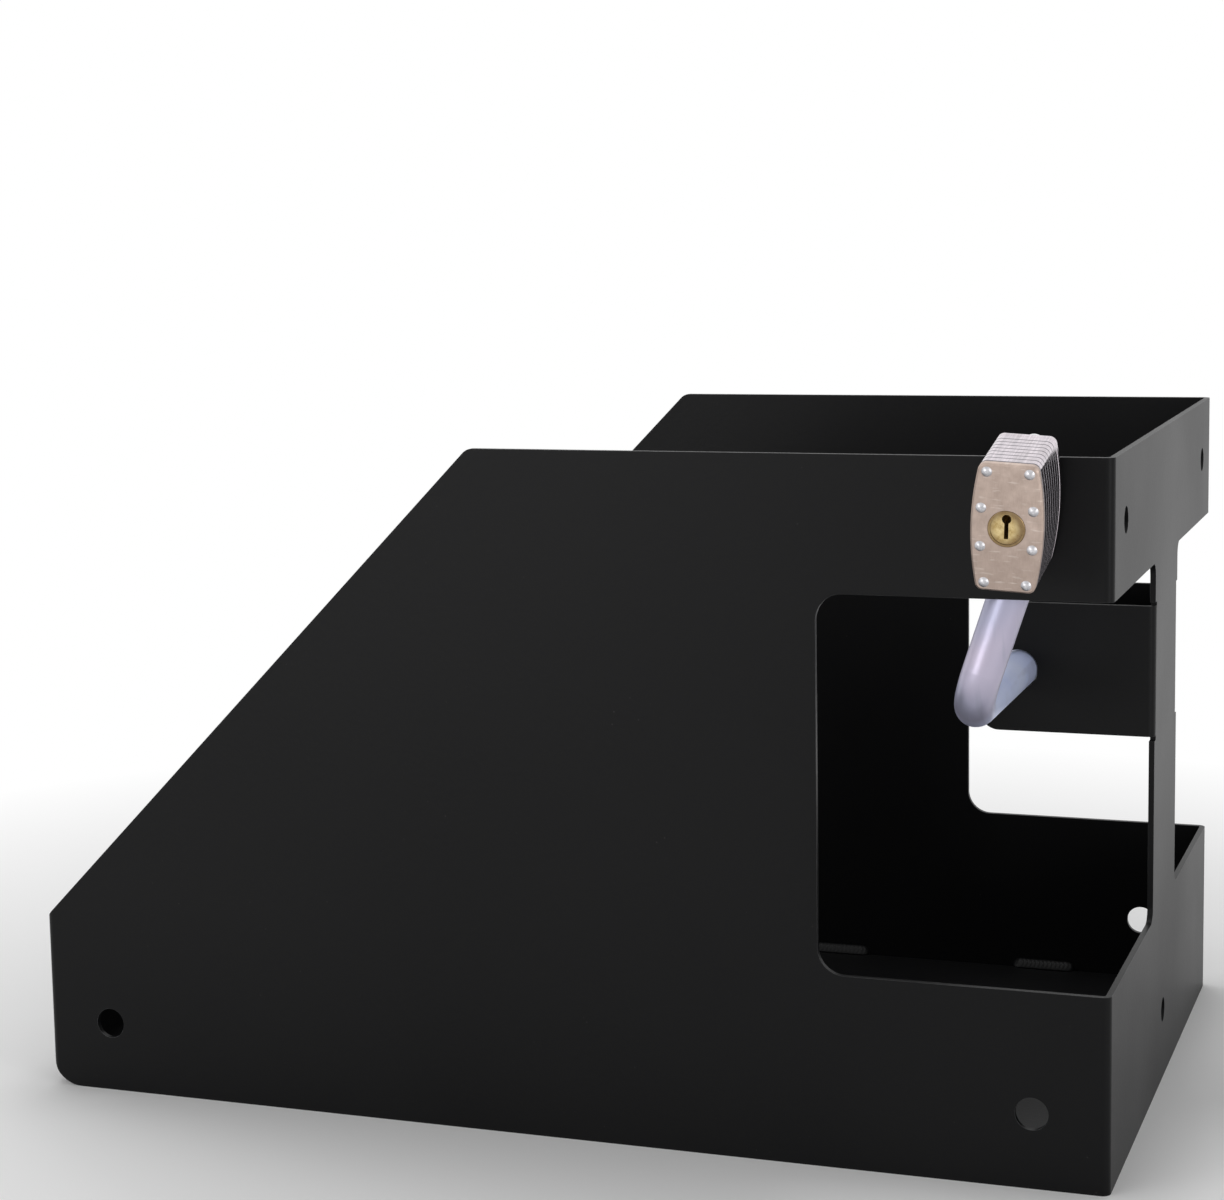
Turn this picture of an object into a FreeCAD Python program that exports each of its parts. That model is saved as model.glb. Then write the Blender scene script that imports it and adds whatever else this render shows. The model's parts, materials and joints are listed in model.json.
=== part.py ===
import FreeCAD, Part
import math
import os

from FreeCAD import Placement, Rotation, Vector

# Lockable container holder: a folded and welded sheet rack with a locking rod and a padlock.
# Origin at the middle of the rack's underside. +X runs along the rack to its tall end plate,
# +Y across it to the far side, +Z up. Millimetres.

# Sheet rack
rack_length = 392.0
rack_width = 250.0
rack_height = 241.0
sheet = 2.0
bend_inside = 1.0
side_top_length = 219.0
front_height = 64.0
slope_corner_radius = 5.0
front_flange_width = 24.0
front_foot_radius = 12.0
flange_end_radius = 5.0

# Windows that open round the two tall corners, under the band
window_length = 97.0
window_bottom = 66.5
band_height = 46.0
window_corner_radius = 9.0
post_width = 57.0
post_corner_radius = 5.0

# Tabs folded inwards from the post, which carry the rod
tab_reach = 62.0
tab_height = 46.5
tab_below_band = 15.5
tab_corner_radius = 7.0
tab_relief = 1.5
rod_hole_inset = 48.2
rod_drop = 1.0

# Holes in the rack
hole_inset = 25.4
side_hole_radius = 5.5
side_hole_height = 25.4
band_hole_radius = 4.5
band_hole_drop = 22.5
lock_hole_radius = 5.5
end_hole_radius = 4.5
end_hole_height = 26.0

# Floor pan
pan_side_clearance = 0.1
pan_bend_outside = 10.0
pan_lip_drop = 6.0
pan_lip_corner_radius = 8.0
pan_hole_spacing_x = 300.0
pan_hole_spacing_y = 64.0
pan_hole_radius = 4.5

# Stitch welds inside the rack
weld_leg = 3.5
weld_length = 26.0
side_weld_count = 4
side_weld_margin = 52.0
end_weld_spacing = 90.0
flange_weld_length = 30.0
flange_weld_bottom = 18.0

# Locking rod
rod_radius = 6.7
rod_bend_radius = 15.0
rod_hole_clearance = 0.4
rod_past_tab = 20.0
rod_end_chamfer = 1.5
rod_band_gap = 0.6
eye_radius = 9.5
eye_thickness = 4.2
eye_hole_clearance = 1.6
eye_neck_length = 14.0

# Padlock body: a stack of riveted plates
lock_inset = 27.0
lock_tilt = 11.5
lock_roll = 3.7
lock_depth = 33.0
lock_width = 41.0
lock_waist = 22.3
lock_end_breadth = 17.8
lock_corner_radius = 2.4
lock_band_gap = 0.3
cover_plate = 3.2
plate_count = 8
plate_edge_bevel = 0.3
face_edge_bevel = 0.6
rivet_radius = 1.3
rivet_clearance = 0.05
rivet_head_radius = 1.65
rivet_head_height = 0.75
rivet_row_half_spacing = 6.2
rivet_end_inset = 2.65
rivet_edge_inset = 3.15

# Shackle
shackle_radius = 3.2
shackle_spacing = 28.4
shackle_reach = 19.0
shackle_clearance = 0.3
shackle_rest_gap = 0.15
toe_depth = 11.0
heel_depth = 23.5
leg_end_chamfer = 0.8
notch_depth = 1.5
notch_radius = 2.6
notch_below_top = 6.5
leg_pocket_spare = 1.0

# Key cylinder
cylinder_radius = 5.8
cylinder_clearance = 0.05
cylinder_proud = 0.4
cylinder_length = 22.0
plug_radius = 4.95
plug_clearance = 0.06
plug_recess = 0.3
plug_length = 19.0
keyway_width = 1.3
keyway_height = 7.8
keyway_rise = 0.7
keyway_lobe_radius = 1.45
keyway_depth = 16.0
cam_radius = 4.4
cam_length = 2.4
cam_flat = 3.0

# Spring under the heel of the shackle
spring_wire_radius = 0.45
spring_turns = 3.0
spring_wall_gap = 0.35

# Places worked out from the sizes above
end_face = rack_length / 2
front_face = -rack_length / 2
side_face = rack_width / 2
bend_outside = bend_inside + sheet
window_top = rack_height - band_height
tab_top = window_top - tab_below_band
tab_bottom = tab_top - tab_height
band_hole_height = rack_height - band_hole_drop
pan_lip_height = front_height - pan_lip_drop
pan_side_gap = bend_inside + pan_side_clearance
blank_margin = 20.0
tilt = math.radians(lock_tilt)
roll = math.radians(lock_roll)
lock_x = end_face - lock_inset
half_spacing = shackle_spacing / 2
end_rivet_x = lock_end_breadth / 2 - rivet_edge_inset * 0.75
end_rivet_y = lock_width / 2 - rivet_end_inset
middle_rivet_x = lock_waist / 2 - rivet_edge_inset

# The lock hangs a little askew by its upper leg from the top edge of the band, and its lowest rivet
# leans on the band
leg_rise = half_spacing * math.cos(roll)
lower_leg_x = lock_x - half_spacing * math.sin(roll)
lowest_rivet = end_rivet_y * math.cos(roll) + end_rivet_x * math.sin(roll)
lock_lean = lowest_rivet * math.sin(tilt) + rivet_head_height * math.cos(tilt)
lock_back_y = -side_face - lock_band_gap - lock_lean
axis_z_at_band = rack_height + shackle_rest_gap - (leg_rise - shackle_radius) / math.cos(tilt)
lock_back_z = axis_z_at_band + (lock_back_y + side_face) * math.tan(tilt)
lock_turn = Rotation(Vector(1, 0, 0), lock_tilt - 90).multiply(Rotation(Vector(0, 0, 1), lock_roll))
lock_place = Placement(Vector(lock_x, lock_back_y, lock_back_z), lock_turn)


def lower_leg_height(y):
    """Height of the axis of the shackle's lower leg where it passes the plane at y."""
    return axis_z_at_band + (y + side_face) * math.tan(tilt) - leg_rise / math.cos(tilt)


rod_x = end_face - rod_hole_inset
rod_z = (tab_bottom + tab_top) / 2 - rod_drop
rod_side_y = -side_face + sheet + rod_band_gap + rod_radius
eye_y = -side_face + sheet + rod_band_gap + eye_thickness / 2
eye_z = lower_leg_height(eye_y)
lock_hole_height = lower_leg_height(-side_face + sheet / 2)


def box(x0, x1, y0, y1, z0, z1):
    """A box between two corners."""
    return Part.makeBox(x1 - x0, y1 - y0, z1 - z0, Vector(x0, y0, z0))


def round_edges(shape, radius, chosen):
    """Round the edges that the test picks."""
    return shape.makeFillet(radius, [edge for edge in shape.Edges if chosen(edge)])


def runs_along(edge, axis):
    """True for an edge that lies along an axis given as 0, 1 or 2."""
    size = edge.BoundBox
    lengths = (size.XLength, size.YLength, size.ZLength)
    return all(length < 1e-6 for number, length in enumerate(lengths) if number != axis)


def mirrored(shape):
    """The same shape on the far side of the rack."""
    return shape.mirror(Vector(0, 0, 0), Vector(0, 1, 0))


def hole(radius, at, axis, length):
    """A drill through at, reaching the length to both sides along the axis."""
    return Part.makeCylinder(radius, 2 * length, at - axis * length, axis)


def prism(points, normal_depth):
    """A straight prism on a closed polygon."""
    return Part.Face(Part.makePolygon(points + points[:1])).extrude(normal_depth)


def export(name, shape):
    """Write one named piece."""
    shape.exportStep("parts/" + name + ".step")


def side_blank():
    """The outline of the sides as seen from the near side, as wide as the rack."""
    slope_top_x = end_face - side_top_length
    width = Vector(0, rack_width + 2 * blank_margin, 0)
    y = -side_face - blank_margin
    outline = [
        Vector(front_face, y, 0),
        Vector(end_face, y, 0),
        Vector(end_face, y, rack_height),
        Vector(slope_top_x, y, rack_height),
        Vector(front_face, y, front_height),
    ]
    blank = prism(outline, width)

    def at_slope_top(edge):
        return runs_along(edge, 1) and abs(edge.CenterOfMass.x - slope_top_x) < 1e-6

    def at_front_foot(edge):
        foot = abs(edge.CenterOfMass.x - front_face) < 1e-6 and edge.CenterOfMass.z < 1e-6
        return runs_along(edge, 1) and foot

    blank = round_edges(blank, slope_corner_radius, at_slope_top)
    return round_edges(blank, front_foot_radius, at_front_foot)


def folded_wall():
    """The one sheet that wraps both sides, the end plate and the two front flanges."""
    outer = box(front_face, end_face, -side_face, side_face, 0, rack_height)
    outer = round_edges(outer, bend_outside, lambda edge: runs_along(edge, 2))
    inner = box(
        front_face + sheet, end_face - sheet, -side_face + sheet, side_face - sheet, -1, rack_height + 1
    )
    inner = round_edges(inner, bend_inside, lambda edge: runs_along(edge, 2))
    flange_end = side_face - front_flange_width
    front_gap = box(
        front_face - 1, front_face + bend_outside + 1, -flange_end, flange_end, -1, rack_height + 1
    )
    return outer.cut(inner).cut(front_gap).common(side_blank())


def flange_corner_trims():
    """Take the square top corner off each front flange."""
    flange_end = side_face - front_flange_width
    edge_y = -flange_end - flange_end_radius
    edge_z = front_height - flange_end_radius
    square = box(front_face - 1, front_face + sheet + 1, edge_y, -flange_end + 1, edge_z, front_height + 4)
    disc = hole(flange_end_radius, Vector(front_face, edge_y, edge_z), Vector(1, 0, 0), sheet + 2)
    trim = square.cut(disc)
    return [trim, mirrored(trim)]


def window_cutters():
    """The near window: one cut through the side and one through the end plate, joined at the corner."""
    side_cut = box(
        end_face - window_length, end_face + 1, -side_face - 1, -side_face + bend_outside,
        window_bottom, window_top
    )
    side_cut = round_edges(
        side_cut, window_corner_radius,
        lambda edge: runs_along(edge, 1) and edge.CenterOfMass.x < end_face - 1
    )
    end_cut = box(
        end_face - bend_outside, end_face + 1, -side_face - 1, -post_width / 2, window_bottom, window_top
    )
    end_cut = round_edges(
        end_cut, post_corner_radius,
        lambda edge: runs_along(edge, 0) and edge.CenterOfMass.y > -side_face
    )
    return [side_cut, end_cut]


def add_tab(wall):
    """Fold a tab inwards from the near edge of the post, with a relief cut above and below it."""
    edge_y = -post_width / 2
    height = tab_top - tab_bottom
    relief = box(
        end_face - sheet - 1, end_face + 1, edge_y - 1, edge_y + bend_outside,
        tab_bottom - tab_relief, tab_top + tab_relief
    )
    centre = Vector(end_face - bend_outside, edge_y + bend_outside, tab_bottom)
    along_x = Vector(1, 0, 0)
    quarter = Part.makeCylinder(bend_outside, height, centre, Vector(0, 0, 1), 90)
    core = Part.makeCylinder(bend_inside, height, centre, Vector(0, 0, 1), 90)
    bend = quarter.cut(core)
    bend.rotate(centre, Vector(0, 0, 1), -90)
    plate = box(end_face - tab_reach, centre.x, edge_y, edge_y + sheet, tab_bottom, tab_top)
    plate = round_edges(
        plate, tab_corner_radius,
        lambda edge: runs_along(edge, 1) and edge.CenterOfMass.x < end_face - tab_reach + 1
    )
    post_side = box(end_face - sheet, end_face, centre.y, centre.y + 1, tab_bottom, tab_top)
    tab = plate.fuse([bend, post_side])
    rod_hole = hole(
        rod_radius + rod_hole_clearance, Vector(rod_x, edge_y, rod_z), Vector(0, 1, 0), sheet + 1
    )
    return wall.cut(relief).fuse(tab).cut(rod_hole)


def rack_holes():
    """Every drilled hole of the folded sheet apart from the rod holes in the tabs."""
    across = Vector(0, 1, 0)
    along = Vector(1, 0, 0)
    drills = []
    for x in (front_face + hole_inset, end_face - hole_inset):
        for y in (-side_face, side_face):
            drills.append(hole(side_hole_radius, Vector(x, y, side_hole_height), across, bend_outside))
    for y in (-side_face + hole_inset, side_face - hole_inset):
        drills.append(hole(band_hole_radius, Vector(end_face, y, band_hole_height), along, bend_outside))
    drills.append(hole(end_hole_radius, Vector(end_face, 0, end_hole_height), along, bend_outside))
    drills.append(
        hole(lock_hole_radius, Vector(lower_leg_x, -side_face, lock_hole_height), across, bend_outside)
    )
    return drills


def make_rack_shell():
    """Sides, end plate, post, tabs and front flanges in one folded sheet."""
    wall = folded_wall()
    near = window_cutters()
    wall = wall.cut(near + [mirrored(cutter) for cutter in near] + flange_corner_trims())
    wall = mirrored(add_tab(mirrored(add_tab(wall))))
    return wall.cut(rack_holes()).removeSplitter()


def make_floor_pan():
    """The floor with its lip folded up behind the front flanges."""
    x0 = front_face + sheet
    x1 = end_face - sheet - pan_side_gap
    y1 = side_face - sheet - pan_side_gap
    outer = box(x0, x1, -y1, y1, 0, pan_lip_height)
    outer = round_edges(
        outer, pan_bend_outside,
        lambda edge: runs_along(edge, 1) and edge.CenterOfMass.x < x0 + 1 and edge.CenterOfMass.z < 1
    )
    inner = box(x0 + sheet, x1 + 1, -y1 - 1, y1 + 1, sheet, pan_lip_height + 1)
    inner = round_edges(
        inner, pan_bend_outside - sheet,
        lambda edge: runs_along(edge, 1) and edge.CenterOfMass.x < x0 + sheet + 1
        and edge.CenterOfMass.z < sheet + 1
    )
    pan = outer.cut(inner)
    pan = round_edges(
        pan, pan_lip_corner_radius,
        lambda edge: runs_along(edge, 0) and edge.CenterOfMass.z > pan_lip_height - 1
        and abs(edge.CenterOfMass.y) > y1 - 1
    )
    up = Vector(0, 0, 1)
    drills = [
        hole(pan_hole_radius, Vector(x, y, 0), up, 2 * sheet)
        for x in (-pan_hole_spacing_x / 2, pan_hole_spacing_x / 2)
        for y in (-pan_hole_spacing_y / 2, pan_hole_spacing_y / 2)
    ]
    return pan.cut(drills)


def weld_bead(corner, leg_one, leg_two, run):
    """A fillet bead in the corner of two plates, with its legs along them."""
    face = [corner, corner + leg_one * weld_leg, corner + leg_two * weld_leg]
    return prism(face, run)


def make_stitch_welds():
    """The beads that join the floor pan to the folded sheet."""
    up = Vector(0, 0, 1)
    wall_y = -side_face + sheet
    beads = []
    first = front_face + side_weld_margin
    pitch = (rack_length - 2 * side_weld_margin - weld_length) / (side_weld_count - 1)
    for number in range(side_weld_count):
        corner = Vector(first + number * pitch, wall_y, sheet)
        bead = weld_bead(corner, Vector(0, 1, 0), up, Vector(weld_length, 0, 0))
        beads += [bead, mirrored(bead)]
    for side in (-1, 1):
        corner = Vector(end_face - sheet, side * end_weld_spacing / 2 - weld_length / 2, sheet)
        beads.append(weld_bead(corner, Vector(-1, 0, 0), up, Vector(0, weld_length, 0)))
    flange_edge = Vector(front_face + sheet, -side_face + front_flange_width, flange_weld_bottom)
    bead = prism(
        [
            flange_edge,
            flange_edge - Vector(sheet * 0.9, 0, 0),
            flange_edge + Vector(0, sheet * 1.2, 0),
        ],
        up * flange_weld_length,
    )
    beads += [bead, mirrored(bead)]
    return Part.makeCompound(beads)


def make_locking_rod():
    """A round bar bent to an L, with its upper end flattened to an eye for the shackle."""
    eye = Vector(lower_leg_x, rod_side_y, eye_z)
    elbow = Vector(rod_x, rod_side_y, rod_z)
    leg = eye - elbow
    leg_way = Vector(leg).normalize()
    flat_start = eye - leg_way * (eye_radius + eye_neck_length)
    far_end = Vector(rod_x, post_width / 2 + rod_past_tab, rod_z)
    away = Vector(0, 1, 0)
    bend_in = elbow + away * rod_bend_radius
    bend_out = elbow + leg_way * rod_bend_radius
    centre = elbow + (away + leg_way) * rod_bend_radius
    bend_middle = centre - (away + leg_way).normalize() * rod_bend_radius
    path = Part.Wire([
        Part.LineSegment(far_end, bend_in).toShape(),
        Part.Arc(bend_in, bend_middle, bend_out).toShape(),
        Part.LineSegment(bend_out, flat_start).toShape(),
    ])
    section = Part.Wire([Part.Circle(far_end, away, rod_radius).toShape()])
    bar = path.makePipeShell([section], True, False)
    tip = Part.makeCone(
        rod_radius, rod_radius - rod_end_chamfer, rod_end_chamfer, far_end, away
    )
    across = Vector(leg_way.z, 0, -leg_way.x)
    neck_end = Vector(eye.x, eye_y, eye.z) - leg_way * eye_radius * 0.6
    half_width = eye_radius * 0.8
    half_thickness = eye_thickness / 2
    corners = [
        neck_end + across * (half_width * a) + away * (half_thickness * b)
        for a, b in ((-1, -1), (1, -1), (1, 1), (-1, 1))
    ]
    neck_top = Part.makePolygon(corners + corners[:1])
    root = Part.Wire([Part.Circle(flat_start, leg_way, rod_radius).toShape()])
    neck = Part.makeLoft([root, neck_top], True, False)
    pad = Part.makeCylinder(
        eye_radius, eye_thickness, Vector(eye.x, eye_y - half_thickness, eye.z), away
    )
    eye_hole = hole(
        shackle_radius + eye_hole_clearance, Vector(eye.x, eye_y, eye.z), away, eye_thickness
    )
    return bar.fuse([tip, neck, pad]).cut(eye_hole).removeSplitter()


def lock_outline():
    """The barrel shaped outline of the lock's plates, in the lock's own frame."""
    end_x, end_y = lock_end_breadth / 2, lock_width / 2
    signs = ((1, -1), (1, 1), (-1, 1), (-1, -1))
    corners = [Vector(x * end_x, y * end_y, 0) for x, y in signs]
    waist = Vector(lock_waist / 2, 0, 0)
    return Part.Wire([
        Part.Arc(corners[0], waist, corners[1]).toShape(),
        Part.LineSegment(corners[1], corners[2]).toShape(),
        Part.Arc(corners[2], -waist, corners[3]).toShape(),
        Part.LineSegment(corners[3], corners[0]).toShape(),
    ])


def lock_plate(bottom, thickness, bevel):
    """One plate of the stack, with rounded corners and bevelled rims."""
    block = Part.Face(lock_outline()).extrude(Vector(0, 0, thickness))
    block = round_edges(
        block, lock_corner_radius,
        lambda edge: runs_along(edge, 2) and abs(edge.CenterOfMass.y) > lock_width / 2 - 1
    )
    rims = [edge for edge in block.Edges if edge.BoundBox.ZLength < 1e-6]
    block = block.makeChamfer(bevel, rims)
    block.translate(Vector(0, 0, bottom))
    return block


def rivet_places():
    """The eight rivets: a pair near each end and a pair each side of the key cylinder."""
    places = [(end_rivet_x, end_rivet_y), (middle_rivet_x, rivet_row_half_spacing)]
    places += [(x, -y) for x, y in places]
    return places + [(-x, y) for x, y in places]


def upright(radius, x, y, bottom, top):
    """A round bar along the lock's own axis."""
    return Part.makeCylinder(radius, top - bottom, Vector(x, y, bottom))


def rivet_holes():
    """Drills for the rivets through the whole stack."""
    return [upright(rivet_radius + rivet_clearance, x, y, -lock_depth - 1, 1) for x, y in rivet_places()]


# In the lock's own frame z is 0 at the shackle end and the keyed face is at -lock_depth.
# The lower leg is the toe, at +y, and the upper leg is the heel, at -y.
toe_y = half_spacing
heel_y = -half_spacing
leg_hole_radius = shackle_radius + shackle_clearance
toe_pocket_bottom = -toe_depth - leg_pocket_spare
face_plate_top = -lock_depth + cover_plate
cylinder_top = -lock_depth + cylinder_length


def stack_drills():
    """Leg pockets and the bore of the key cylinder, cut through the plates they reach."""
    toe_pocket = upright(leg_hole_radius, 0, toe_y, toe_pocket_bottom, 1)
    heel_pocket = upright(leg_hole_radius, 0, heel_y, face_plate_top, 1)
    bore_bottom = -lock_depth - 1
    bore_radius = cylinder_radius + cylinder_clearance
    bore = upright(bore_radius, 0, 0, bore_bottom, cylinder_top)
    cam_room = upright(cylinder_radius, 0, 0, cylinder_top - 1, cylinder_top + cam_length + 1)
    return [toe_pocket, heel_pocket, bore, cam_room] + rivet_holes()


def make_lock_plates():
    """The keyed face plate, the inner plates and the plate at the shackle end."""
    drills = stack_drills()
    face_plate = lock_plate(-lock_depth, cover_plate, face_edge_bevel).cut(drills)
    top_plate = lock_plate(-cover_plate, cover_plate, face_edge_bevel).cut(drills)
    thickness = (lock_depth - 2 * cover_plate) / plate_count
    inner = [
        lock_plate(face_plate_top + number * thickness, thickness, plate_edge_bevel).cut(drills)
        for number in range(plate_count)
    ]
    return face_plate, Part.makeCompound(inner), top_plate


def make_rivets():
    """Rivets through the stack with a low domed head at both ends."""
    rivets = []
    dome_radius = (rivet_head_radius ** 2 + rivet_head_height ** 2) / (2 * rivet_head_height)
    for x, y in rivet_places():
        pin = upright(rivet_radius, x, y, -lock_depth, 0)
        for level, side in ((-lock_depth, -1), (0, 1)):
            centre = Vector(x, y, level + side * (rivet_head_height - dome_radius))
            ball = Part.makeSphere(dome_radius, centre)
            low, high = sorted((level, level + side * rivet_head_height))
            pin = pin.fuse(ball.common(upright(rivet_head_radius + 1, x, y, low, high)))
        rivets.append(pin)
    return Part.makeCompound(rivets)


def make_cylinder():
    """The brass sleeve that holds the key plug."""
    bottom = -lock_depth - cylinder_proud
    sleeve = upright(cylinder_radius, 0, 0, bottom, cylinder_top)
    bore = upright(plug_radius + plug_clearance, 0, 0, bottom - 1, cylinder_top + 1)
    rim = [edge for edge in sleeve.Edges if edge.BoundBox.ZMax < bottom + 1e-6]
    return sleeve.makeChamfer(cylinder_proud / 2, rim).cut(bore)


def make_key_plug():
    """The plug with its upright keyway, which turns in the sleeve."""
    bottom = -lock_depth - cylinder_proud + plug_recess
    plug = upright(plug_radius, 0, 0, bottom, bottom + plug_length)
    keyway_top = -keyway_height / 2 - keyway_rise
    slot = box(
        -keyway_width / 2, keyway_width / 2, keyway_top, keyway_top + keyway_height,
        bottom - 1, bottom + keyway_depth
    )
    lobe_y = keyway_top + keyway_lobe_radius
    lobe = upright(keyway_lobe_radius, 0, lobe_y, bottom - 1, bottom + keyway_depth)
    return plug.cut(slot.fuse(lobe))


def make_plug_cam():
    """The flat sided tail on the back of the plug."""
    bottom = -lock_depth - cylinder_proud + plug_recess + plug_length
    tail_top = cylinder_top + cam_length
    cam = upright(cam_radius, 0, 0, bottom, tail_top)
    flats = box(-cam_flat, cam_flat, -cam_radius - 1, cam_radius + 1, bottom, tail_top)
    return cam.common(flats)


def make_shackle():
    """A round bar bent to a U, with a locking notch in the inside of each leg."""
    straight = shackle_reach - (half_spacing - shackle_radius)
    toe_end = Vector(0, toe_y, -toe_depth)
    toe_top = Vector(0, toe_y, straight)
    heel_top = Vector(0, heel_y, straight)
    heel_end = Vector(0, heel_y, -heel_depth)
    crown = Vector(0, 0, straight + half_spacing)
    path = Part.Wire([
        Part.LineSegment(toe_end, toe_top).toShape(),
        Part.Arc(toe_top, crown, heel_top).toShape(),
        Part.LineSegment(heel_top, heel_end).toShape(),
    ])
    up = Vector(0, 0, 1)
    section = Part.Wire([Part.Circle(toe_end, up, shackle_radius).toShape()])
    bar = path.makePipeShell([section], True, False)
    ends = [edge for edge in bar.Edges if abs(edge.Length - 2 * math.pi * shackle_radius) < 1e-3]
    ends = [edge for edge in ends if edge.BoundBox.ZMax < 0]
    bar = bar.makeChamfer(leg_end_chamfer, ends)
    notch_inset = half_spacing - shackle_radius + notch_depth - notch_radius
    notches = [
        hole(notch_radius, Vector(0, side * notch_inset, -notch_below_top), Vector(1, 0, 0), lock_waist)
        for side in (-1, 1)
    ]
    return bar.cut(notches)


def make_shackle_spring():
    """The coil that pushes the heel of the shackle out."""
    room = -heel_depth - face_plate_top - spring_wire_radius * 2
    coil_radius = leg_hole_radius - spring_wall_gap - spring_wire_radius
    pitch = (room - spring_wire_radius) / spring_turns
    helix = Part.makeHelix(pitch, pitch * spring_turns, coil_radius)
    section = Part.Wire([
        Part.Circle(Vector(coil_radius, 0, 0), Vector(0, 1, 0), spring_wire_radius).toShape()
    ])
    coil = Part.Wire(helix.Edges).makePipeShell([section], True, True)
    coil.translate(Vector(0, heel_y, face_plate_top + spring_wire_radius * 1.2))
    return coil


os.makedirs("parts", exist_ok=True)

export("rack_shell", make_rack_shell())
export("floor_pan", make_floor_pan())
export("stitch_welds", make_stitch_welds())
export("locking_rod", make_locking_rod())

face_plate, inner_plates, top_plate = make_lock_plates()
lock_pieces = {
    "lock_face_plate": face_plate,
    "lock_inner_plates": inner_plates,
    "lock_top_plate": top_plate,
    "lock_rivets": make_rivets(),
    "lock_cylinder": make_cylinder(),
    "key_plug": make_key_plug(),
    "plug_cam": make_plug_cam(),
    "shackle": make_shackle(),
    "shackle_spring": make_shackle_spring(),
}
for name, piece in lock_pieces.items():
    export(name, piece.transformed(lock_place.Matrix))
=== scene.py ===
import json
import math

import bmesh
import bpy
from mathutils import Matrix, Vector


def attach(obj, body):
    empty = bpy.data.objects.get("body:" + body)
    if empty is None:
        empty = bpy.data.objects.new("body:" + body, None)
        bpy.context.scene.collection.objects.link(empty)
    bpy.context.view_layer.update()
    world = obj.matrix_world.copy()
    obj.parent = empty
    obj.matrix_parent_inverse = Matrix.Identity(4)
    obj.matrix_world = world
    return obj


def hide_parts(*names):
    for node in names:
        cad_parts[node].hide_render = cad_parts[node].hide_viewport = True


# The looks of a lockable container holder: a folded sheet rack, its locking rod and a laminated padlock.
# Metres, in the frame of the CAD model: +X to the tall end plate, +Y away from the lock, +Z up.

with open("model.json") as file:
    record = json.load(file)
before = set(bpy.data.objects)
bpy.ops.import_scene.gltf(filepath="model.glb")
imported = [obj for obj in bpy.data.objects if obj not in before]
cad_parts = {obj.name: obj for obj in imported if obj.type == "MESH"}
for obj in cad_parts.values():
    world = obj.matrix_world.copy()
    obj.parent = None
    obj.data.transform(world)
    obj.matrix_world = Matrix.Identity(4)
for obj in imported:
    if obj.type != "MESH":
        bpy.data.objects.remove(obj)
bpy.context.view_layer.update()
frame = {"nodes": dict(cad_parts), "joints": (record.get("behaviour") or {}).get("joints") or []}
mm = 0.001

# Camera: the photograph's frame and its optical middle, the lens in its pixels, then the place, the turn
# to the left, the dip and the roll
image_width = 1224
image_height = 1200
middle_across = 545.5
middle_down = 550.5
lens_in_pixels = 2707.1
sensor_width = 36.0
camera_place = Vector((0.3242, -0.9776, 0.3259))
camera_turn = 0.3581
camera_dip = 0.1302
camera_roll = 0.0204

# Meshes of the CAD model: how near split corners lie, and the bend below which two faces are one
split_corner = 0.001 * mm
flat_bend = math.radians(0.3)

# Edges eased by the powder coat
coat_edge = 0.7 * mm
coat_edge_steps = 3
sharp_edge_angle = math.radians(28)

# Weld beads
ripple_pitch = 1.7 * mm
ripple_height = 0.09
ripple_bow = 1.2
bead_fullness = 0.55
bead_end_rise = 0.02
stations_per_ripple = 6
points_across_bead = 9
end_face_depth = 0.01 * mm
square_corner = 1e-9

# Padlock, placed by the axis that its key plug turns on, with z = 0 at the keyed face
plug_joint = next(joint for joint in frame["joints"] if joint["name"] == "key_plug_turn")
lock_face_middle = Vector(plug_joint["pos_m"])
lock_tilt = math.atan2(plug_joint["axis"][2], plug_joint["axis"][1])
lock_roll = math.radians(3.7)
lock_turn = Matrix.Rotation(lock_tilt - math.pi / 2, 3, "X") @ Matrix.Rotation(lock_roll, 3, "Z")
cover_plate = 3.2 * mm
inner_plate = 3.325 * mm
plate_bevel = 0.3 * mm
plug_radius = 4.95 * mm

# Studio
rack_middle = (0.0, 0.0, 0.12)
white = (1.0, 1.0, 1.0, 1.0)
room_light = 0.45
floor_radius = 8.0
floor_sides = 96
shadow_reach = 0.24
white_from = 0.58


class Value:
    """One output of a node. Arithmetic on it adds Math nodes beside it."""

    def __init__(self, nodes, socket):
        self.nodes = nodes
        self.socket = socket

    def maths(self, operation, first, second=0.0):
        return self.nodes.add("ShaderNodeMath", {"operation": operation}, {0: first, 1: second})

    def __add__(self, other):
        return self.maths("ADD", self, other)

    def __radd__(self, other):
        return self.maths("ADD", other, self)

    def __sub__(self, other):
        return self.maths("SUBTRACT", self, other)

    def __rsub__(self, other):
        return self.maths("SUBTRACT", other, self)

    def __mul__(self, other):
        return self.maths("MULTIPLY", self, other)

    def __rmul__(self, other):
        return self.maths("MULTIPLY", other, self)

    def __truediv__(self, other):
        return self.maths("DIVIDE", self, other)

    def fraction(self):
        return self.maths("FRACT", self)


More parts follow.
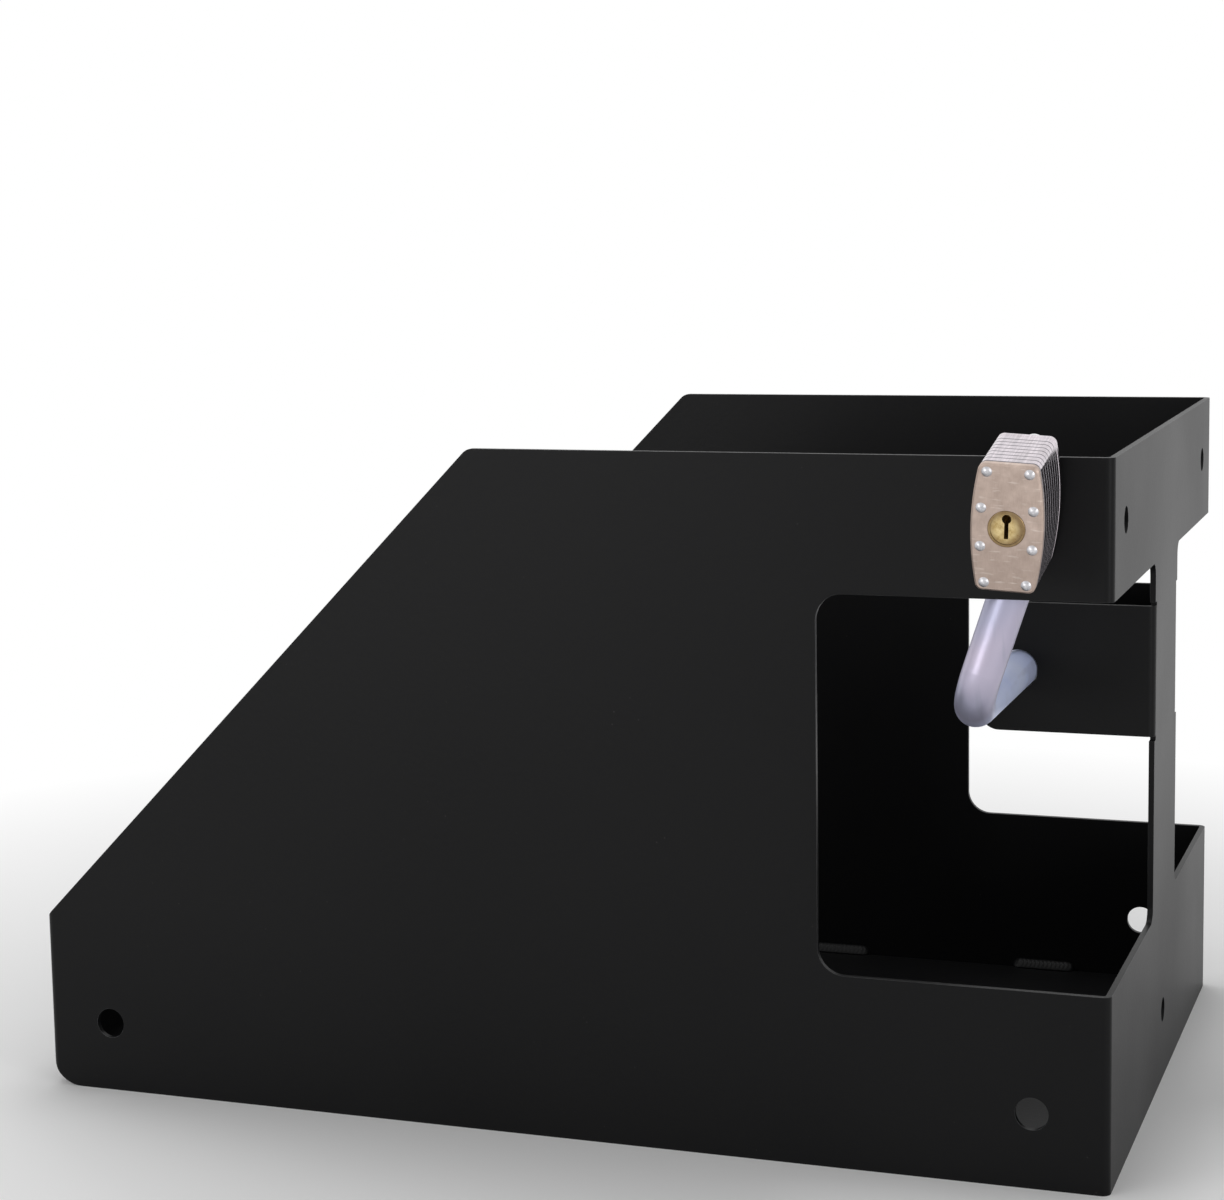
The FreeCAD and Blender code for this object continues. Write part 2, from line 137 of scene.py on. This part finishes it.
class Nodes:
    """A node tree, and one way to add a node of any kind to it."""

    def __init__(self, tree):
        self.tree = tree

    def put(self, socket, value):
        """Link a value to a socket, or write a number or a colour on it."""
        if isinstance(value, Value):
            self.tree.links.new(value.socket, socket)
        else:
            socket.default_value = value

    def add(self, kind, settings=None, sockets=None, output=0):
        """A node with its settings made first, then its sockets, as the value of one output."""
        node = self.tree.nodes.new(kind)
        for name, setting in (settings or {}).items():
            setattr(node, name, setting)
        for key, value in (sockets or {}).items():
            self.put(node.inputs[key], value)
        return Value(self, node.outputs[output])

    def spread(self, value, from_low, from_high, to_low, to_high):
        """Map a range of a value onto another range, held at both ends."""
        return self.add(
            "ShaderNodeMapRange", {"clamp": True},
            {
                "Value": value, "From Min": from_low, "From Max": from_high,
                "To Min": to_low, "To Max": to_high,
            },
        )

    def mix(self, factor, first, second):
        """Mix two colours."""
        return self.add(
            "ShaderNodeMix", {"data_type": "RGBA"}, {0: factor, 6: first, 7: second}, output=2
        )

    def seen(self):
        """1 where a ray from the camera, a reflection or a refraction looks, and 0 for other light."""
        kinds = ("Is Camera Ray", "Is Glossy Ray", "Is Transmission Ray")
        camera, glossy, transmission = (self.add("ShaderNodeLightPath", output=kind) for kind in kinds)
        return self.spread(camera + glossy + transmission, 0.0, 1.0, 0.0, 1.0)


class Finish(Nodes):
    """A material on one shader, with textures that sit in the part's own frame."""

    def __init__(self, name, **constants):
        self.material = bpy.data.materials.new(name)
        self.material.use_nodes = True
        super().__init__(self.material.node_tree)
        self.shader = self.tree.nodes["Principled BSDF"]
        for socket, value in constants.items():
            self.drive(socket.replace("_", " "), value)

    def drive(self, socket, value):
        self.put(self.shader.inputs[socket], value)

    def place(self):
        """The point on the part, in metres."""
        return self.add("ShaderNodeTexCoord", output="Object")

    def lock_place(self):
        """The point in the padlock's own frame: x across the face, y down it and z into the body."""
        return self.add(
            "ShaderNodeMapping", {"vector_type": "TEXTURE"},
            {
                "Vector": self.place(),
                "Location": lock_face_middle,
                "Rotation": lock_turn.to_euler(),
            },
        )

    def stretched(self, point, scale):
        """The point scaled by a factor for each axis, for grain and streaks."""
        return self.add("ShaderNodeMapping", {"vector_type": "POINT"}, {"Vector": point, "Scale": scale})

    def noise(self, point, scale, detail=2.0, roughness=0.5):
        return self.add(
            "ShaderNodeTexNoise", {},
            {"Vector": point, "Scale": scale, "Detail": detail, "Roughness": roughness},
        )

    def specks(self, point, scale, radius):
        """1 on small round specks scattered over the surface."""
        distance = self.add("ShaderNodeTexVoronoi", {"feature": "F1"}, {"Vector": point, "Scale": scale})
        return self.spread(distance, radius * 0.5, radius, 1.0, 0.0)

    def relief(self, *layers):
        """Bump layers, each a height from 0 to 1 and its depth in metres, one on top of the other."""
        normal = None
        for height, depth in layers:
            sockets = {"Height": height, "Distance": depth, "Strength": 1.0}
            if normal is not None:
                sockets["Normal"] = normal
            normal = self.add("ShaderNodeBump", {}, sockets)
        self.drive("Normal", normal)


def black_powder_coat():
    """Satin black powder coat with a fine orange peel, painted lighter on the eased edges: partly
    thinner, worn coat and partly a painted highlight.
    """
    coat = Finish("black_powder_coat", Specular_IOR_Level=0.12)
    point = coat.place()
    cloud = coat.noise(point, 9.0, 3.0)
    peel = coat.noise(point, 620.0, 1.0, 0.4)
    fine = coat.noise(point, 2600.0, 2.0)
    dust = coat.specks(point, 210.0, 0.07) * coat.spread(coat.noise(point, 30.0), 0.5, 0.7, 0.0, 1.0)
    rim = coat.add("ShaderNodeAttribute", {"attribute_name": "rim"}, output="Fac")
    # The eased edges are painted a lighter grey: partly thin, worn coat and partly a painted highlight.
    edge_wear_and_highlight = rim * coat.spread(coat.noise(point, 70.0, 4.0), 0.36, 0.60, 0.35, 1.0)
    black = coat.mix(cloud, (0.0036, 0.0037, 0.0040, 1.0), (0.0060, 0.0060, 0.0064, 1.0))
    dusty = coat.mix(dust * 0.5, black, (0.055, 0.052, 0.050, 1.0))
    coat.drive("Base Color", coat.mix(edge_wear_and_highlight * 0.8, dusty, (0.125, 0.128, 0.130, 1.0)))
    coat.drive("Roughness", coat.spread(cloud + fine * 0.4, 0.4, 1.0, 0.34, 0.44) - edge_wear_and_highlight * 0.08)
    coat.relief((peel, 0.035 * mm), (fine, 0.006 * mm))
    return coat.material


def bright_zinc():
    """Zinc plate on drawn bar, soft and faintly lilac, with fine die lines; the inner leg is painted as
    a lighter, bluer and less metallic copy, which is painted light and painted reflection.
    """
    zinc = Finish("bright_zinc")
    point = zinc.place()
    tint = zinc.spread(zinc.noise(point, 30.0, 2.0), 0.38, 0.62, 0.0, 1.0)
    lines = zinc.noise(zinc.stretched(point, (420.0, 40.0, 40.0)), 1.0, 2.0, 0.5)
    spangle = zinc.noise(point, 380.0, 2.0)
    lilac = zinc.mix(tint, (0.40, 0.40, 0.53, 1.0), (0.51, 0.465, 0.58, 1.0))
    blue = zinc.mix(tint, (0.58, 0.65, 0.92, 1.0), (0.66, 0.72, 0.93, 1.0))
    across = zinc.add("ShaderNodeSeparateXYZ", {}, {0: point}, output="Y")
    # Painted light: past the near side the rod turns a lighter blue and less metallic, standing in for
    # the light and reflection on the inner leg.
    inner_leg_painted_light = zinc.spread(across + tint * (8 * mm), -112 * mm, -96 * mm, 0.0, 1.0)
    tint_with_painted_light = zinc.mix(inner_leg_painted_light, lilac, blue)
    drawn = zinc.spread(lines, 0.56, 0.70, 0.0, 0.35)
    zinc.drive("Base Color", zinc.mix(drawn, tint_with_painted_light, (0.34, 0.35, 0.44, 1.0)))
    zinc.drive("Metallic", zinc.spread(spangle, 0.3, 0.7, 0.52, 0.62) - inner_leg_painted_light * 0.42)
    zinc.drive("Roughness", zinc.spread(lines + spangle, 0.6, 1.4, 0.30, 0.42))
    zinc.relief((lines, 0.005 * mm), (spangle, 0.003 * mm))
    return zinc.material


def keyed_plate_steel():
    """Warm grey plating of the keyed face, with a fine grain and a few scuffs, darker towards the bottom
    of the face.
    """
    plate = Finish("keyed_plate_steel", Metallic=0.82)
    point = plate.lock_place()
    grain = plate.noise(plate.stretched(point, (2400.0, 420.0, 2400.0)), 1.0, 4.0, 0.65)
    mottle = plate.noise(point, 190.0, 4.0, 0.6)
    rubbing = plate.noise(plate.stretched(point, (160.0, 900.0, 160.0)), 1.0, 3.0)
    scuff = plate.spread(rubbing, 0.60, 0.72, 0.0, 1.0)
    tone = plate.mix(
        plate.spread(mottle + grain * 0.5, 0.45, 1.05, 0.0, 1.0),
        (0.38, 0.295, 0.250, 1.0), (0.57, 0.455, 0.395, 1.0),
    )
    # The face turns darker towards its bottom.
    down_face = plate.add("ShaderNodeSeparateXYZ", {}, {0: point}, output="Y")
    darker_down_face = plate.spread(down_face, 1 * mm, 14 * mm, 0.0, 0.20)
    darkened_towards_bottom = plate.mix(darker_down_face, tone, (0.16, 0.12, 0.10, 1.0))
    plate.drive("Base Color", plate.mix(scuff * 0.45, darkened_towards_bottom, (0.76, 0.68, 0.62, 1.0)))
    plate.drive("Roughness", plate.spread(grain, 0.3, 0.7, 0.34, 0.52) - scuff * 0.08)
    plate.relief((grain, 0.012 * mm), (mottle, 0.02 * mm))
    return plate.material


def laminated_steel():
    """Burnished rims of the stacked plates, with draw lines and with dull grooves between plates."""
    steel = Finish("laminated_steel", Metallic=1.0)
    point = steel.lock_place()
    depth = steel.add("ShaderNodeSeparateXYZ", {}, {0: point}, output="Z")
    step = ((depth - cover_plate) / inner_plate).fraction()
    from_joint = step.maths("MINIMUM", step, 1.0 - step)
    bevel = plate_bevel / inner_plate
    groove = steel.spread(from_joint, 0.9 * bevel, 1.2 * bevel, 1.0, 0.0)
    draw = steel.noise(steel.stretched(point, (1500.0, 1500.0, 60.0)), 1.0, 3.0, 0.6)
    stain = steel.noise(point, 120.0, 3.0)
    rim = steel.mix(
        steel.spread(draw, 0.35, 0.65, 0.0, 1.0), (0.58, 0.53, 0.57, 1.0), (0.80, 0.72, 0.77, 1.0)
    )
    worn = steel.mix(steel.spread(stain, 0.55, 0.75, 0.0, 0.30), rim, (0.34, 0.30, 0.28, 1.0))
    steel.drive("Base Color", steel.mix(groove, worn, (0.20, 0.19, 0.205, 1.0)))
    steel.drive("Roughness", steel.spread(draw + groove, 0.35, 1.45, 0.10, 0.50))
    steel.relief((draw, 0.003 * mm))
    return steel.material


def rivet_steel():
    """Headed steel pins, bright where the header pressed them."""
    steel = Finish("rivet_steel", Metallic=1.0)
    point = steel.lock_place()
    mark = steel.noise(point, 900.0, 3.0)
    pressed = steel.spread(mark, 0.3, 0.7, 0.0, 1.0)
    steel.drive("Base Color", steel.mix(pressed, (0.42, 0.42, 0.44, 1.0), (0.62, 0.61, 0.63, 1.0)))
    steel.drive("Roughness", steel.spread(mark, 0.3, 0.7, 0.30, 0.44))
    steel.relief((mark, 0.010 * mm))
    return steel.material


def turned_brass():
    """Turned brass of the key cylinder: a painted highlight left of the middle, and darker and browner
    round the rim, partly tarnish and partly painted shade.
    """
    brass = Finish("turned_brass", Metallic=1.0)
    point = brass.lock_place()
    # Painted highlight and shade: the face is lightest about a point left of the axis and darkens
    # towards the rim.
    across_face = brass.add(
        "ShaderNodeMapping", {"vector_type": "POINT"},
        {"Vector": point, "Location": (0.6 * mm, 0.0, 0.0), "Scale": (1.0, 1.0, 0.0)},
    )
    from_axis = brass.add(
        "ShaderNodeVectorMath", {"operation": "LENGTH"}, {0: across_face}, output="Value"
    )
    rings = brass.add(
        "ShaderNodeTexWave", {"wave_type": "RINGS", "rings_direction": "Z", "wave_profile": "SIN"},
        {"Vector": point, "Scale": 900.0, "Distortion": 0.6, "Detail": 1.0},
    )
    tarnish = brass.noise(point, 420.0, 4.0, 0.6)
    worn = brass.mix(
        brass.spread(tarnish, 0.34, 0.66, 0.0, 1.0), (0.42, 0.29, 0.11, 1.0), (0.76, 0.61, 0.32, 1.0)
    )
    # Painted shade with tarnish: browner and darker towards the rim.
    from_painted_highlight = from_axis + tarnish * (0.8 * mm)
    painted_shade_and_tarnish = brass.spread(from_painted_highlight, 0.66 * plug_radius, 1.12 * plug_radius, 0.0, 0.85)
    brass.drive("Base Color", brass.mix(painted_shade_and_tarnish, worn, (0.20, 0.130, 0.070, 1.0)))
    brass.drive("Roughness", brass.spread(tarnish + rings * 0.3, 0.3, 1.1, 0.24, 0.42))
    brass.relief((rings, 0.006 * mm), (tarnish, 0.008 * mm))
    return brass.material


def shackle_chrome():
    """Hardened and plated shackle bar, smooth with a few hairlines."""
    chrome = Finish("shackle_chrome", Metallic=1.0)
    point = chrome.lock_place()
    hairline = chrome.noise(chrome.stretched(point, (3000.0, 500.0, 140.0)), 1.0, 3.0, 0.6)
    cloud = chrome.noise(point, 150.0, 2.0)
    chrome.drive("Base Color", chrome.mix(cloud, (0.66, 0.66, 0.69, 1.0), (0.80, 0.80, 0.82, 1.0)))
    chrome.drive("Roughness", chrome.spread(hairline + cloud * 0.5, 0.4, 1.1, 0.08, 0.22))
    chrome.relief((hairline, 0.004 * mm))
    return chrome.material


def paint(thing, material):
    """Give one material to every slot of a piece."""
    if not thing.material_slots:
        thing.data.materials.append(material)
    for slot in thing.material_slots:
        slot.material = material


def new_piece(name, shape, material, slot, *nodes):
    """Turn a bmesh into a piece that rides on the holder and stands for the CAD nodes."""
    mesh = bpy.data.meshes.new(name)
    shape.to_mesh(mesh)
    shape.free()
    piece = bpy.data.objects.new(name, mesh)
    bpy.context.scene.collection.objects.link(piece)
    paint(piece, material)
    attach(piece, "holder")
    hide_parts(*nodes)
    return piece


def welded_mesh(node):
    """The faces of a CAD node with its split corners joined again."""
    shape = bmesh.new()
    shape.from_mesh(frame["nodes"][node].data)
    bmesh.ops.remove_doubles(shape, verts=shape.verts, dist=split_corner)
    return shape


def coated_sheet(node, name, material):
    """A sheet piece of the CAD with its cut edges eased, as a coat of powder leaves them."""
    shape = welded_mesh(node)
    bmesh.ops.dissolve_limit(shape, angle_limit=flat_bend, verts=shape.verts, edges=shape.edges)
    cut_edges = [
        edge for edge in shape.edges
        if edge.is_manifold and edge.calc_face_angle() > sharp_edge_angle
    ]
    eased = bmesh.ops.bevel(
        shape, geom=cut_edges, offset=coat_edge, offset_type="OFFSET", segments=coat_edge_steps,
        profile=0.5, affect="EDGES", clamp_overlap=True, material=-1,
    )
    # The eased faces are marked rim, where the coat is painted lighter: partly thin coat and partly a
    # painted highlight.
    rim = shape.loops.layers.float.new("rim")
    for face in eased["faces"]:
        for loop in face.loops:
            loop[rim] = 1.0
    for face in shape.faces:
        face.smooth = True
    piece = new_piece(name, shape, material, "rack_paint", node)
    flatten = piece.modifiers.new("flat_sheet", "WEIGHTED_NORMAL")
    flatten.mode = "FACE_AREA"
    flatten.weight = 100
    return piece


def bead_islands(shape):
    """The separate CAD beads, each as a list of its corner points."""
    left = set(shape.verts)
    while left:
        island = [left.pop()]
        for vertex in island:
            for edge in vertex.link_edges:
                other = edge.other_vert(vertex)
                if other in left:
                    left.remove(other)
                    island.append(other)
        yield [vertex.co.copy() for vertex in island]


def bead_place(points):
    """The inner corner where a bead starts, its run, and its two legs along the plates."""
    lows = [min(point[axis] for point in points) for axis in range(3)]
    highs = [max(point[axis] for point in points) for axis in range(3)]
    spans = [high - low for low, high in zip(lows, highs)]
    axis = spans.index(max(spans))
    end_face = [point for point in points if point[axis] < lows[axis] + end_face_depth]
    run = Vector((0.0, 0.0, 0.0))
    run[axis] = max(spans)
    for corner in end_face:
        legs = [point - corner for point in end_face if point is not corner]
        if abs(legs[0].dot(legs[1])) < square_corner:
            return corner, run, legs[0], legs[1]


def add_bead(shape, corner, run, leg_one, leg_two):
    """One rippled bead: crescents along the run, a full section and rounded ends."""
    length = run.length
    leg = (leg_one.length + leg_two.length) / 2
    stations = int(length / ripple_pitch * stations_per_ripple)
    rings = []
    for station in range(stations + 1):
        along = length * station / stations
        from_end = min(along, length - along)
        end_rise = math.sqrt(max(bead_end_rise, 1 - (1 - min(from_end / leg, 1)) ** 2))
        ring = [shape.verts.new(corner + run * (along / length))]
        for number in range(points_across_bead):
            across = number / (points_across_bead - 1)
            angle = across * math.pi / 2
            chord = leg_one * (1 - across) + leg_two * across
            arc = leg_one * math.cos(angle) + leg_two * math.sin(angle)
            crescent = ripple_bow * ripple_pitch * (2 * across - 1) ** 2
            ripple = abs(math.sin(math.pi * (along + crescent) / ripple_pitch))
            edge_fade = math.sin(math.pi * across)
            rise = end_rise * (1 - ripple_height * (1 - ripple) * edge_fade)
            point = corner + run * (along / length) + (chord.lerp(arc, bead_fullness)) * rise
            ring.append(shape.verts.new(point))
        rings.append(ring)
    for ring, following in zip(rings, rings[1:]):
        for number in range(len(ring)):
            after = (number + 1) % len(ring)
            face = shape.faces.new((ring[number], ring[after], following[after], following[number]))
            face.smooth = True
    shape.faces.new(rings[0][::-1])
    shape.faces.new(rings[-1])


def weld_beads(material):
    """The rippled stitch welds between the floor pan and the folded sheet."""
    cad_beads = welded_mesh("stitch_welds")
    shape = bmesh.new()
    for points in bead_islands(cad_beads):
        add_bead(shape, *bead_place(points))
    cad_beads.free()
    bmesh.ops.recalc_face_normals(shape, faces=shape.faces)
    return new_piece("stitch_weld_beads", shape, material, "rack_paint", "stitch_welds")


def place_camera():
    """The camera that took the photograph, with its frame shifted to the photograph's crop."""
    turn = camera_turn
    dip = camera_dip
    ahead = Vector((-math.sin(turn) * math.cos(dip), math.cos(turn) * math.cos(dip), -math.sin(dip)))
    level = Vector((math.cos(turn), math.sin(turn), 0.0))
    below = ahead.cross(level)
    right = level * math.cos(camera_roll) + below * math.sin(camera_roll)
    down = below * math.cos(camera_roll) - level * math.sin(camera_roll)
    data = bpy.data.cameras.new("photo_camera")
    data.sensor_width = sensor_width
    data.lens = lens_in_pixels * sensor_width / image_width
    data.shift_x = (image_width / 2 - middle_across) / image_width
    data.shift_y = (middle_down - image_height / 2) / image_width
    data.clip_start = 0.05
    data.clip_end = 50.0
    camera = bpy.data.objects.new("photo_camera", data)
    camera_axes = Matrix((right, -down, -ahead)).transposed().to_4x4()
    camera.matrix_world = Matrix.Translation(camera_place) @ camera_axes
    bpy.context.scene.collection.objects.link(camera)
    bpy.context.scene.camera = camera


def softbox(name, place, target, width, height, power):
    """A soft rectangular studio lamp that looks at a point."""
    data = bpy.data.lights.new(name, "AREA")
    data.shape = "RECTANGLE"
    data.size = width
    data.size_y = height
    data.energy = power
    lamp = bpy.data.objects.new(name, data)
    lamp.location = place
    lamp.rotation_euler = (Vector(target) - Vector(place)).to_track_quat("-Z", "Y").to_euler()
    bpy.context.scene.collection.objects.link(lamp)


def light_studio():
    """Soft light from above and from both sides of the camera, in an even white room."""
    softbox("softbox_above", (-0.15, 0.25, 1.50), rack_middle, 1.0, 0.8, 7.0)
    softbox("softbox_left", (-1.10, -1.25, 1.00), rack_middle, 0.9, 0.9, 3.0)
    softbox("softbox_right", (1.10, -0.75, 0.32), (0.15, -0.12, 0.15), 0.35, 0.5, 2.5)
    softbox("softbox_low_left", (-1.25, -2.45, 0.35), (-0.05, -0.125, 0.20), 1.3, 0.6, 11.0)
    world = bpy.data.worlds.new("white_room")
    world.use_nodes = True
    bpy.context.scene.world = world
    room = Nodes(world.node_tree)
    background = world.node_tree.nodes["Background"]
    room.put(background.inputs["Color"], white)
    room.put(background.inputs["Strength"], room.spread(room.seen(), 0.0, 1.0, room_light, 1.0))


def lay_floor():
    """A pale floor that keeps the shadow near the rack and runs out to white."""
    bpy.ops.mesh.primitive_circle_add(
        vertices=floor_sides, radius=floor_radius, fill_type="NGON", location=(0.0, 0.0, 0.0)
    )
    floor = bpy.context.object
    floor.name = "floor"
    finish = Finish(
        "pale_floor", Base_Color=(0.90, 0.90, 0.90, 1.0), Roughness=0.75, Specular_IOR_Level=0.2
    )
    distance = finish.add(
        "ShaderNodeVectorMath", {"operation": "LENGTH"}, {0: finish.place()}, output="Value"
    )
    whitened = finish.seen() * finish.spread(distance, shadow_reach, white_from, 0.0, 1.0)
    glow = finish.add("ShaderNodeEmission", {}, {"Color": white, "Strength": 1.0})
    plain = Value(finish, finish.shader.outputs[0])
    surface = finish.add("ShaderNodeMixShader", {}, {0: whitened, 1: plain, 2: glow})
    output = finish.tree.nodes["Material Output"]
    finish.put(output.inputs["Surface"], surface)
    floor.data.materials.append(finish.material)


# Finishes and the pieces that wear them
powder_coat = black_powder_coat()
plated_rivets = rivet_steel()
brass_finish = turned_brass()
plate_stack = laminated_steel()
cad_finishes = {
    "locking_rod": bright_zinc(),
    "lock_face_plate": keyed_plate_steel(),
    "lock_inner_plates": plate_stack,
    "lock_top_plate": plate_stack,
    "lock_rivets": plated_rivets,
    "lock_cylinder": brass_finish,
    "key_plug": brass_finish,
    "plug_cam": plated_rivets,
    "shackle": shackle_chrome(),
    "shackle_spring": plated_rivets,
}
for node, material in cad_finishes.items():
    paint(frame["nodes"][node], material)

coated_sheet("rack_shell", "rack_shell_coated", powder_coat)
coated_sheet("floor_pan", "floor_pan_coated", powder_coat)
weld_beads(powder_coat)

# Studio
place_camera()
light_studio()
lay_floor()

# Settings
bpy.context.scene.view_settings.view_transform = "Standard"
